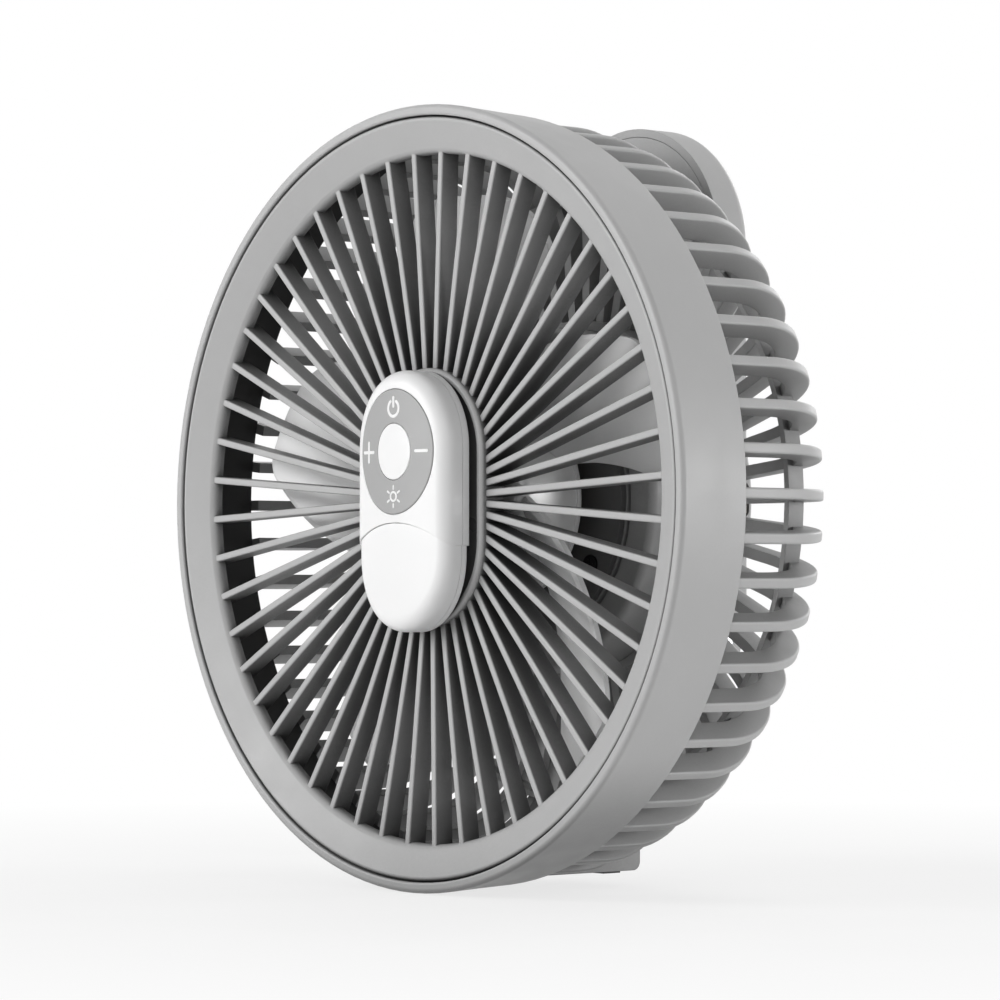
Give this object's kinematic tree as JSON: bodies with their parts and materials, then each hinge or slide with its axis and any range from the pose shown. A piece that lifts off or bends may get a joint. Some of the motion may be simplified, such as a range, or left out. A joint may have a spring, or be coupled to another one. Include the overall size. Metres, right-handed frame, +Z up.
{
  "type": "portable camping fan",
  "caption": "Round portable camping fan with radial grilles, a docked pill-shaped remote, an inner rotor, a cell pod and a folding stand that also hangs.",
  "frame": {"origin": "middle of the object's base: the bounding box's bottom centre, with the rim's lowest point at Z = 0", "axes": "+Z up, the front grille and the remote face -Y, +X to the right seen from the front; the rotor's axis lies along Y, 103 mm above the base"},
  "size_m": [0.2058, 0.0972, 0.2058],
  "materials": {
    "body_plastic": "fine-grained matt moulding, light grey",
    "dark_plastic": "matt charcoal moulding",
    "blade_plastic": "smoky light grey, slightly see-through, satin",
    "remote_white": "smooth satin white",
    "key_grey": "satin mid grey with white signs",
    "lamp_smoke": "dark smoked, translucent",
    "lamp_opal": "milky translucent",
    "soft_rubber": "matt soft rubber",
    "washer_nylon": "natural nylon",
    "steel": "turned and pressed steel",
    "black_screws": "black oxide",
    "zinc_screws": "zinc plated",
    "nickel": "nickel plated magnet",
    "copper": "enamelled copper wire",
    "board": "solder-resist green",
    "cell_wrap": "shrink wrap",
    "emitter_tint": "dark tinted lens"
  },
  "bodies": {
    "housing": {"rim_band": "body_plastic", "front_grille": "body_plastic", "duct_ring": "dark_plastic", "rear_grille": "body_plastic", "foot_pad_front": "soft_rubber", "foot_pad_rear": "soft_rubber", "dock_seat": "dark_plastic", "dock_cover": "body_plastic", "lamp_diffuser": "lamp_smoke", "lamp_board": "board", "dock_magnet_upper": "nickel", "dock_magnet_lower": "nickel", "dock_screw_upper": "zinc_screws", "dock_screw_lower": "zinc_screws", "motor_base": "dark_plastic", "stator_core": "steel", "stator_coils": "copper", "bearing_front": "steel", "bearing_rear": "steel", "motor_screw_1": "black_screws", "motor_screw_2": "black_screws", "motor_screw_3": "black_screws", "pod_housing": "body_plastic", "pod_cover": "body_plastic", "cover_screw_1": "zinc_screws", "cover_screw_2": "zinc_screws", "cover_screw_3": "zinc_screws", "cover_screw_4": "zinc_screws", "usb_port": "steel", "charge_board": "board", "status_lens": "lamp_opal", "main_board": "board", "cell_holder": "dark_plastic", "cell_1": "cell_wrap", "cell_2": "cell_wrap", "cell_3": "cell_wrap", "hinge_pin": "steel", "hinge_washer_left": "washer_nylon", "hinge_washer_right": "washer_nylon"},
    "rotor": {"fan_rotor": "blade_plastic", "motor_bell": "steel", "magnet_ring": "nickel", "motor_shaft": "steel"},
    "stand": {"stand_arm": "body_plastic", "stand_liner": "body_plastic"},
    "power_key": {"power_button": "dark_plastic"},
    "remote": {"remote_body": "remote_white", "remote_back": "remote_white", "remote_board": "board", "coin_cell": "steel", "remote_emitter": "emitter_tint", "remote_disc_upper": "steel", "remote_disc_lower": "steel"},
    "door": {"battery_door": "remote_white"},
    "ring_key": {"button_ring": "key_grey"},
    "centre_key": {"centre_button": "remote_white"}
  },
  "joints": [
    {"name": "rotor_spin", "type": "hinge", "parent": "housing", "child": "rotor", "pos_m": [0, -0.01663, 0.103], "axis": [0, 1, 0], "continuous": true},
    {"name": "stand_fold", "type": "hinge", "parent": "housing", "child": "stand", "pos_m": [0, 0.04263, 0.065], "axis": [-1, 0, 0], "range_deg": [0, 112]},
    {"name": "power_press", "type": "slide", "parent": "housing", "child": "power_key", "axis": [0, -1, 0], "range_m": [0, 0.0008], "stiffness_N_per_m": 500},
    {"name": "remote_lift", "type": "slide", "parent": "housing", "child": "remote", "axis": [0, -1, 0], "range_m": [0, 0.06]},
    {"name": "door_slide", "type": "slide", "parent": "remote", "child": "door", "axis": [0, 0, -1], "range_m": [0, 0.025]},
    {"name": "ring_press", "type": "slide", "parent": "remote", "child": "ring_key", "axis": [0, 1, 0], "range_m": [0, 0.0004], "stiffness_N_per_m": 400},
    {"name": "centre_press", "type": "slide", "parent": "remote", "child": "centre_key", "axis": [0, 1, 0], "range_m": [0, 0.0004], "stiffness_N_per_m": 400}
  ]
}
